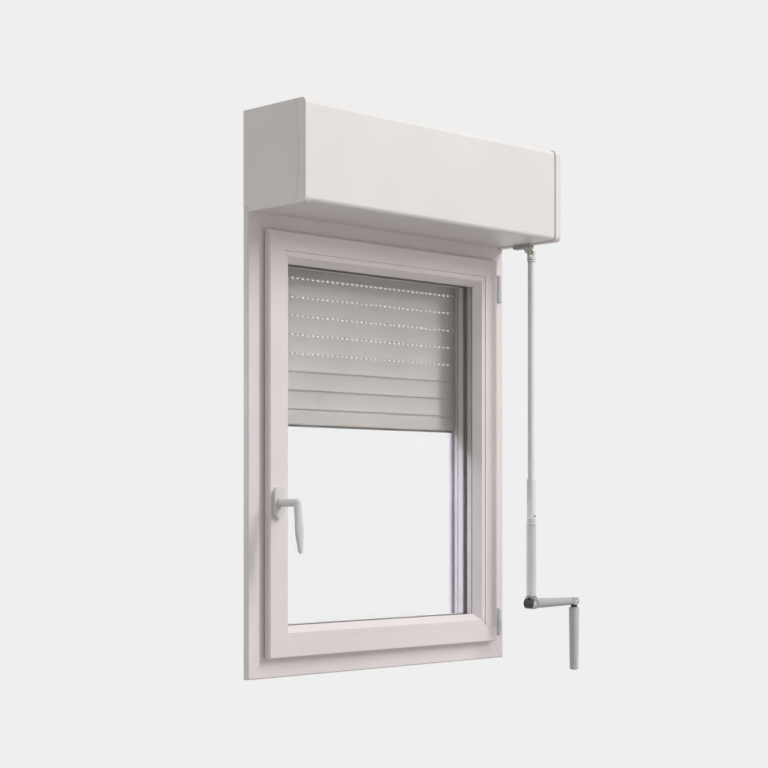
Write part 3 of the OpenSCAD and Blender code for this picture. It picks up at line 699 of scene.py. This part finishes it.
@dataclass
class Guides(SubAssembly):
    """The two guide rails with their brush pile."""

    edge_mm: float = 0.5
    pile_w: float = 0.005
    pile_h: float = 0.00595
    backing_h: float = 0.0012
    tuft_rows: int = 2
    tuft_pitch: float = 0.0025
    tuft_taper: float = 0.0004

    def finishes(self) -> dict[str, Finish]:
        """Returns the finish of each node of the guides."""
        return {"guide_left": GUIDE_PVC, "guide_right": GUIDE_PVC}

    def pile_strip(self, length: float) -> bpy.types.Object:
        """Makes one strip of pile on +Z: a backing along Y with rows of tapered tufts.

        Args:
            length: Length of the strip.

        Returns:
            The mesh object, centred on X and Y.
        """
        clear_selection()
        tufts = round(length / self.tuft_pitch)
        bpy.ops.mesh.primitive_grid_add(x_subdivisions=self.tuft_rows, y_subdivisions=tufts, size=1)
        strip = bpy.context.active_object
        strip.scale = (self.pile_w, length, 1)
        bpy.ops.object.transform_apply(location=True, rotation=True, scale=True)
        with editing(strip):
            bpy.ops.mesh.extrude_region_move(TRANSFORM_OT_translate={"value": (0, 0, self.backing_h)})
            bpy.ops.mesh.inset(
                thickness=self.tuft_taper, depth=self.pile_h - self.backing_h, use_individual=True
            )
            bpy.ops.mesh.select_all(action="SELECT")
            bpy.ops.mesh.normals_make_consistent(inside=False)
        return strip

    def build(self) -> None:
        """Sets four strips of pile on the lips of the guides, tufts towards the curtain."""
        low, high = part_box("guide_brushes")
        strip = self.pile_strip(high.z - low.z)
        places = [(side, way) for side in (-1, 1) for way in (-1, 1)]
        strips = [strip] + [copied(strip) for _ in places[1:]]
        middle_x, middle_z = high.x - self.pile_w / 2, (low.z + high.z) / 2
        for twin, (side, way) in zip(strips, places):
            root = Vector((side * middle_x, low.y if way > 0 else high.y, middle_z))
            # The strip's length goes up and its tufts point in or out of the wall.
            turn = Matrix(((-way, 0, 0), (0, 0, way), (0, 1, 0)))
            twin.data.transform(Matrix.Translation(root) @ turn.to_4x4())
        clear_selection()
        for twin in strips:
            twin.select_set(True)
        bpy.context.view_layer.objects.active = strip
        bpy.ops.object.join()
        finished(strip, "guide_pile", PILE, "window_unit")
        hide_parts("guide_brushes")


@dataclass
class ShutterBox(SubAssembly):
    """The box over the window, with its caps, lining and bearings."""

    edge_mm: float = 0.7

    def finishes(self) -> dict[str, Finish]:
        """Returns the finish of each node of the box."""
        panels = ["box_underside", "box_front_cover", "end_cap_left", "end_cap_right", "box_outer_panel"]
        inside = {"side_plates": ZINC_SHEET, "box_insulation": FOAM, "idler_bearing": BLACK_NYLON}
        return dict.fromkeys(panels, PANEL_PVC) | {"box_top": LID_PVC} | inside


@dataclass
class Roller(SubAssembly):
    """The roller tube with its plugs and wound slats."""

    edge_mm: float = 0.4

    def finishes(self) -> dict[str, Finish]:
        """Returns the finish of each node of the roller."""
        plugs = {"idler_plug": BLACK_NYLON, "drive_plug": BLACK_NYLON}
        return {"roller_tube": ZINC_SHEET, "wound_slats": SLAT_LACQUER} | plugs


@dataclass
class Curtain(SubAssembly):
    """The hanging slats with the bottom bar."""

    edge_mm: float = 0.5
    slats: int = 8

    def finishes(self) -> dict[str, Finish]:
        """Returns the finish of each node of the curtain."""
        names = ["bottom_bar", "upper_slats"] + [f"slat_{i}" for i in range(1, self.slats + 1)]
        return dict.fromkeys(names, SLAT_LACQUER) | {"bottom_seal": SEAL_RUBBER}


@dataclass
class Sash(SubAssembly):
    """The glazed sash with its beads, glass and seals."""

    edge_mm: float = 1.0

    def finishes(self) -> dict[str, Finish]:
        """Returns the finish of each node of the sash."""
        bars = ["sash_rail_top", "sash_rail_bottom", "sash_stile_lock", "sash_stile_hinge", "glazing_beads"]
        inner = {"glass_panes": GLASS, "glass_spacer": SPACER_METAL, "glazing_gaskets": GASKET_RUBBER}
        return dict.fromkeys(bars, FRAME_PVC) | inner

    def rounded(self) -> dict[str, float]:
        """Returns the edge radii that differ; glass and spacer stay sharp."""
        return {"glass_panes": 0.0, "glass_spacer": 0.0, "glazing_gaskets": 0.5}


@dataclass
class Fittings(SubAssembly):
    """Handle, hinges and lock."""

    edge_mm: float = 0.9
    hinge_len: float = 0.060
    hinge_r: float = 0.008
    cap_h: float = 0.0032
    rosette_t: float = 0.0093
    neck_r: float = 0.0085
    neck_lip: float = 0.0012
    neck_h: float = 0.0028

    def finishes(self) -> dict[str, Finish]:
        """Returns the finish of each fitting."""
        return {
            "handle_rosette": FITTING_COAT,
            "handle_lever": FITTING_COAT,
            "hinge_frame_leaves": HINGE_COAT,
            "hinge_sash_leaves": HINGE_COAT,
            "hinge_pins": BRIGHT_STEEL,
            "locking_bar": ZINC_SHEET,
        }

    def build(self) -> None:
        """Closes the hinge knuckles with domed caps and sets the collar on the handle's neck."""
        axis = joint_at("sash_turn")
        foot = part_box("hinge_frame_leaves")[0].z
        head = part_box("hinge_sash_leaves")[1].z
        ends = [
            ("window_unit", foot, -1),
            ("window_unit", head - self.hinge_len, -1),
            ("sash", foot + self.hinge_len, 1),
            ("sash", head, 1),
        ]
        places = [(Vector((axis.x, axis.y, z)), Vector((0, 0, way))) for _, z, way in ends]
        caps = row_of(rivet_head(self.hinge_r - SUNK_MM * MM, self.cap_h), places)
        for i, (cap, (body, _, _)) in enumerate(zip(caps, ends), 1):
            finished(cap, f"hinge_cap_{i}", HINGE_COAT, body)
        neck = turned_band(self.neck_r + self.neck_lip, self.neck_lip + SUNK_MM * MM, self.neck_h)
        turned_to(neck, joint_at("handle_turn") + self.rosette_t * INTO_ROOM, INTO_ROOM)
        finished(neck, "neck_collar", FITTING_COAT, "handle")


@dataclass
class Drive(SubAssembly):
    """Gear housing, drive rod, exit plate and universal joint."""

    edge_mm: float = 0.5
    yoke_r: float = 0.0101
    yoke_from: float = 0.0092
    yoke_to: float = 0.0154
    yoke_dish: float = 0.002
    yoke_rim: float = 0.0008
    yoke_hollow: float = 0.3
    yoke_sides: int = 40
    screw_r: float = 0.0024
    screw_h: float = 0.0012
    screw_back: float = 0.043
    screw_side: float = 0.0048
    plate_drop: float = 0.007

    def finishes(self) -> dict[str, Finish]:
        """Returns the finish of each node of the drive."""
        return {
            "winch_housing": BLACK_NYLON,
            "exit_plate": EXIT_NYLON,
            "drive_rod": BRIGHT_STEEL,
            "upper_fork": ZINC_CAST,
            "lower_fork": ZINC_CAST,
            "joint_cross": ZINC_CAST,
        }

    def yoke_block(self) -> bpy.types.Object:
        """Makes the block between a fork's ears on +Z, dished so that the other fork can swing.

        Returns:
            The mesh object.
        """
        rim = self.yoke_r - self.yoke_rim
        outline = [(self.yoke_r, self.yoke_to), (self.yoke_r, self.yoke_from), (rim, self.yoke_from)]
        outline.append((self.yoke_hollow * rim, self.yoke_from + self.yoke_dish))
        return turned_part(outline, self.yoke_sides)

    def build(self) -> None:
        """Fills both forks with their blocks and screws the exit plate to the box."""
        centre = joint_at("crank_turn")
        shaft = Vector(next(joint["axis"] for joint in frame["joints"] if joint["name"] == "drive_turn"))
        upward = shaft if shaft.z > 0 else -shaft
        blocks = row_of(self.yoke_block(), [(centre, upward), (centre, DOWN)])
        for block, name, body in zip(blocks, ("upper_yoke", "lower_yoke"), ("drive_shaft", "crank")):
            finished(block, name, ZINC_CAST, body)
        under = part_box("box_front_cover")[0].z - self.plate_drop
        back = centre.y + self.screw_back
        places = [(Vector((centre.x + side * self.screw_side, back, under)), DOWN) for side in (-1, 1)]
        for i, screw in enumerate(row_of(star_screw(self.screw_r, self.screw_h), places), 1):
            finished(screw, f"exit_screw_{i}", ZINC_CAST, "window_unit")


@dataclass
class Crank(SubAssembly):
    """Crank rod with hand sleeve, folding arm and turning grip."""

    edge_mm: float = 0.7
    collar_r: float = 0.01075
    cheek_r: float = 0.013
    cheek_half: float = 0.012
    arm_end_half: float = 0.009
    # The black half shell on the knuckle is painted shade: its wall, where it is cut off at the back, the
    # slant of that cut, its rounded skin and its sides.
    shade_shell_wall: float = 0.0006
    shade_shell_back: float = 0.0066
    shade_shell_slant: float = 0.21
    shade_shell_skin: float = 0.8
    shade_shell_sides: int = 48
    lip: float = 0.0004
    band_h: float = 0.0013
    band_wall: float = 0.0012
    rod_bands: tuple[tuple[float, float], ...] = ((0.0166, 0.0095), (0.0222, 0.0085))
    collar_bands: tuple[float, float, float] = (0.0005, 0.0070, 0.0118)
    pin_up: float = 0.0213
    pin_r: float = 0.0024
    pin_h: float = 0.0012
    sleeve_lip_h: float = 0.0026
    sleeve_lip_in: float = 0.0004
    knuckle_rivet_r: float = 0.0032
    elbow_rivet_r: float = 0.0026
    rivet_h: float = 0.0011
    cone_start: float = 0.0146
    cone_r: float = 0.0122
    arm_band_h: float = 0.0018
    grip_band_up: float = 0.006
    grip_end_r: float = 0.0105
    grip_dome: float = 0.003

    def finishes(self) -> dict[str, Finish]:
        """Returns the finish of each node of the crank."""
        return {
            "crank_rod": CRANK_TUBE,
            "crank_sleeve": SLEEVE_NYLON,
            "crank_arm": ARM_NYLON,
            "grip_knuckle": BLACK_NYLON,
            "crank_grip": GRIP_NYLON,
        }

    def band(
        self, name: str, at: Vector, radius: float, finish: Finish, body: str, height: float = 0.0
    ) -> None:
        """Sets one narrow band round an upright tube.

        Args:
            name: Name of the piece.
            at: Middle of its lower edge.
            radius: Radius of the tube.
            finish: Its finish.
            body: The body that carries it.
            height: Its height, or band_h if left out.
        """
        ring = turned_band(radius + self.lip, self.band_wall, height or self.band_h)
        finished(turned_to(ring, at, UP), name, finish, body)

    def knuckle_shade_shell(self, knuckle: Vector) -> None:
        """Adds a black half shell on the outer side of the folding knuckle: painted shade that stands in for
        the shadow inside the fork there.

        Args:
            knuckle: Centre of the knuckle.
        """
        outer, half = self.cheek_r + self.shade_shell_wall, self.cheek_half + self.shade_shell_wall
        shell = turned_part([(outer, -half), (outer, half)], self.shade_shell_sides)
        turned_to(shell, Vector(), Vector((0, 1, 0)))
        with editing(shell):
            bpy.ops.mesh.bisect(
                plane_co=(-self.shade_shell_back, 0, 0), plane_no=(1, 0, -self.shade_shell_slant), clear_outer=True
            )
        skin = self.shade_shell_skin * self.shade_shell_wall
        applied(shell, "BEVEL", width=skin, segments=2, limit_method="ANGLE")
        applied(shell, "SOLIDIFY", thickness=skin, offset=-1.0)
        turned_to(shell, knuckle, UP)
        # The black nylon here is painted shade: it darkens the knuckle's outer side, where the fork's slot
        # lies in shadow.
        finished(shell, "knuckle_shade_shell", BLACK_NYLON, "crank")

    def build(self) -> None:
        """Adds the bands, rivets and caps of the crank, and the black shell of painted shade on the knuckle,
        from the top down.
        """
        self.rod_trim(joint_at("crank_turn"))
        # The knuckle's black half shell is painted shade.
        self.knuckle_shade_shell(joint_at("arm_fold"))
        self.rivets(joint_at("arm_fold"), joint_at("grip_fold"))
        ring = turned_band(self.cone_r + self.lip, self.band_wall, self.arm_band_h)
        turned_to(ring, joint_at("arm_fold") + Vector((self.cone_start, 0, 0)), Vector((1, 0, 0)))
        finished(ring, "arm_band", SLEEVE_NYLON, "arm")
        elbow = joint_at("grip_fold")
        foot = Vector((elbow.x, elbow.y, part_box("crank_grip")[0].z))
        self.band("grip_band", foot + self.grip_band_up * UP, self.grip_end_r, SLEEVE_NYLON, "grip")
        dome = rivet_head(self.grip_end_r - SUNK_MM * MM, self.grip_dome)
        finished(turned_to(dome, foot, DOWN), "grip_end", GRIP_NYLON, "grip")

    def rod_trim(self, joint: Vector) -> None:
        """Sets the bands on the rod, the pin in its collar and the lips of the hand sleeve.

        Args:
            joint: Centre of the universal joint, on the rod's axis.
        """
        for i, (drop, radius) in enumerate(self.rod_bands, 1):
            self.band(f"rod_band_{i}", joint + drop * DOWN, radius, BAND_NYLON, "crank")
        sleeve_low, sleeve_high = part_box("crank_sleeve")
        sleeve_r = (sleeve_high.x - sleeve_low.x) / 2
        on_rod = Vector((joint.x, joint.y, sleeve_high.z))
        for i, up in enumerate(self.collar_bands, 1):
            self.band(f"collar_band_{i}", on_rod + up * UP, self.collar_r, BAND_NYLON, "crank")
        pin = rivet_head(self.pin_r, self.pin_h)
        turned_to(pin, on_rod + self.collar_r * INTO_ROOM + self.pin_up * UP, INTO_ROOM)
        finished(pin, "collar_pin", BLACK_NYLON, "crank")
        lips = {
            "sleeve_lip_top": sleeve_high.z - self.sleeve_lip_in - self.sleeve_lip_h,
            "sleeve_lip_bottom": sleeve_low.z + self.sleeve_lip_in,
        }
        for name, z in lips.items():
            at = Vector((joint.x, joint.y, z))
            self.band(name, at, sleeve_r, SLEEVE_NYLON, "hand_sleeve", self.sleeve_lip_h)

    def rivets(self, knuckle: Vector, elbow: Vector) -> None:
        """Closes both pivots of the folding arm with rivet heads.

        Args:
            knuckle: Centre of the pivot under the rod.
            elbow: Centre of the pivot over the grip.
        """
        pivots = [
            ("knuckle_rivet", "crank", knuckle, self.cheek_half, self.knuckle_rivet_r),
            ("elbow_rivet", "arm", elbow, self.arm_end_half, self.elbow_rivet_r),
        ]
        for name, body, centre, half, radius in pivots:
            for side, way in (("near", INTO_ROOM), ("far", -INTO_ROOM)):
                head = turned_to(rivet_head(radius, self.rivet_h), centre + half * way, way)
                finished(head, f"{name}_{side}", ZINC_CAST, body)


@dataclass(frozen=True)
class Lamp:
    """One lamp, placed round the point that it shines on and narrowed to a beam if need be.

    The azimuth counts from the window's normal into the room, to the right seen from the room.
    """

    name: str
    azimuth_deg: float
    elevation_deg: float
    distance: float
    width: float
    height: float
    watts: float
    aim: tuple[float, float, float] = (0.0, -0.05, 0.6)
    spread_deg: float = 180
    colour: str = "#ffffff"

    def hang(self) -> None:
        """Adds the lamp to the scene, turned to its aim."""
        aim = Vector(self.aim)
        round_z, up = math.radians(self.azimuth_deg), math.radians(self.elevation_deg)
        away = Vector((math.sin(round_z) * math.cos(up), -math.cos(round_z) * math.cos(up), math.sin(up)))
        light = bpy.data.lights.new(self.name, "AREA")
        light.energy = self.watts
        light.shape = "RECTANGLE"
        light.size = self.width
        light.size_y = self.height
        light.spread = math.radians(self.spread_deg)
        light.color = linear(self.colour)[:3]
        holder = bpy.data.objects.new(self.name, light)
        holder.location = aim + self.distance * away
        holder.rotation_euler = (-away).to_track_quat("-Z", "Y").to_euler()
        holder.visible_camera = False
        holder.visible_transmission = False
        bpy.context.scene.collection.objects.link(holder)


@dataclass
class Studio:
    """Floor, lamps, world and the camera at the photograph's angle."""

    camera_at: tuple[float, float, float] = (-2.826, -2.886, 0.370)
    yaw_deg: float = 44.76
    focal_px: float = 1792.5
    horizon_row: float = 502.7
    backdrop: str = "#efefef"
    room_light: float = 0.42
    outside_light: float = 0.85
    edge_of_light: float = 0.25
    floor_matt: str = "#a5a3a1"
    floor_z: float = -0.9
    floor_half: float = 30.0
    lamps: tuple[Lamp, ...] = (
        Lamp("key", 31, 37, 9.0, 1.8, 6.1, 556),
        Lamp("fill", 10, -20, 4.0, 2.0, 1.0, 12),
        Lamp("daylight", -115, 25, 3.0, 0.4, 0.4, 0.62, (0.31, 0.0, 0.28), 16, "#e6e4ff"),
    )

    def build(self) -> None:
        """Makes the studio."""
        self.add_world()
        self.add_floor()
        for lamp in self.lamps:
            lamp.hang()
        self.add_camera()

    def seen_directly(self, tree: bpy.types.NodeTree) -> bpy.types.NodeSocket:
        """Adds the test for rays from the camera, or mirrored or sent on to it.

        Args:
            tree: The tree of a world or a material.

        Returns:
            One for such a ray and zero for a ray that lights the object.
        """
        path = add_node(tree, "ShaderNodeLightPath")
        mirrored = add_node(tree, "ShaderNodeMath", operation="MAXIMUM")
        tree.links.new(path.outputs["Is Glossy Ray"], mirrored.inputs[0])
        tree.links.new(path.outputs["Is Transmission Ray"], mirrored.inputs[1])
        either = add_node(tree, "ShaderNodeMath", operation="MAXIMUM")
        tree.links.new(path.outputs["Is Camera Ray"], either.inputs[0])
        tree.links.new(mirrored.outputs[0], either.inputs[1])
        return either.outputs[0]

    def add_world(self) -> None:
        """Lights the object softly, more from outside than from the room, and shows a pale backdrop."""
        world = bpy.data.worlds.new("studio")
        bpy.context.scene.world = world
        world.use_nodes = True
        tree = world.node_tree
        tree.nodes.clear()
        shown = add_node(tree, "ShaderNodeBackground", Color=linear(self.backdrop), Strength=1.0)
        way = add_node(tree, "ShaderNodeTexCoord").outputs["Generated"]
        split = add_node(tree, "ShaderNodeSeparateXYZ", {"Vector": way})
        level = add_node(
            tree,
            "ShaderNodeMapRange",
            {"Value": split.outputs["Y"]},
            From_Min=-self.edge_of_light,
            From_Max=self.edge_of_light,
            To_Min=self.room_light,
            To_Max=self.outside_light,
        )
        light = add_node(tree, "ShaderNodeBackground", {"Strength": level.outputs[0]}, Color=(1, 1, 1, 1))
        mixed = add_node(tree, "ShaderNodeMixShader", {"Fac": self.seen_directly(tree)})
        tree.links.new(light.outputs[0], mixed.inputs[1])
        tree.links.new(shown.outputs[0], mixed.inputs[2])
        add_node(tree, "ShaderNodeOutputWorld", {"Surface": mixed.outputs[0]})

    def add_floor(self) -> None:
        """Lays a pale floor that looks like the backdrop."""
        clear_selection()
        bpy.ops.mesh.primitive_plane_add(size=2 * self.floor_half, location=(0, 0, self.floor_z))
        floor = bpy.context.active_object
        floor.name = "floor"
        paint = bpy.data.materials.new("floor_paint")
        paint.use_nodes = True
        tree = paint.node_tree
        tree.nodes.clear()
        shown = add_node(tree, "ShaderNodeEmission", Color=linear(self.backdrop), Strength=1.0)
        matt = add_node(tree, "ShaderNodeBsdfDiffuse", Color=linear(self.floor_matt))
        mixed = add_node(tree, "ShaderNodeMixShader", {"Fac": self.seen_directly(tree)})
        tree.links.new(matt.outputs[0], mixed.inputs[1])
        tree.links.new(shown.outputs[0], mixed.inputs[2])
        add_node(tree, "ShaderNodeOutputMaterial", {"Surface": mixed.outputs[0]})
        floor.data.materials.append(paint)

    def add_camera(self) -> None:
        """Sets the camera level, with the horizon where the photograph has it."""
        eye = bpy.data.cameras.new("camera")
        eye.sensor_width = SENSOR_MM
        eye.lens = self.focal_px / IMAGE_PX * eye.sensor_width
        eye.shift_y = (self.horizon_row - IMAGE_PX / 2) / IMAGE_PX
        eye.clip_end = VIEW_END
        holder = bpy.data.objects.new("camera", eye)
        holder.location = self.camera_at
        holder.rotation_euler = (math.radians(90), 0, -math.radians(self.yaw_deg))
        bpy.context.scene.collection.objects.link(holder)
        bpy.context.scene.camera = holder


def main() -> None:
    """Dresses and completes every sub-assembly, then sets up the studio."""
    logging.basicConfig(level=logging.INFO, format="%(message)s")
    bpy.context.scene.view_settings.view_transform = "Standard"
    parts = [WindowFrame(), Guides(), ShutterBox(), Roller(), Curtain(), Sash(), Fittings(), Drive(), Crank()]
    for part in parts:
        part.dress()
        part.build()
    Studio().build()


if __name__ == "__main__":
    main()
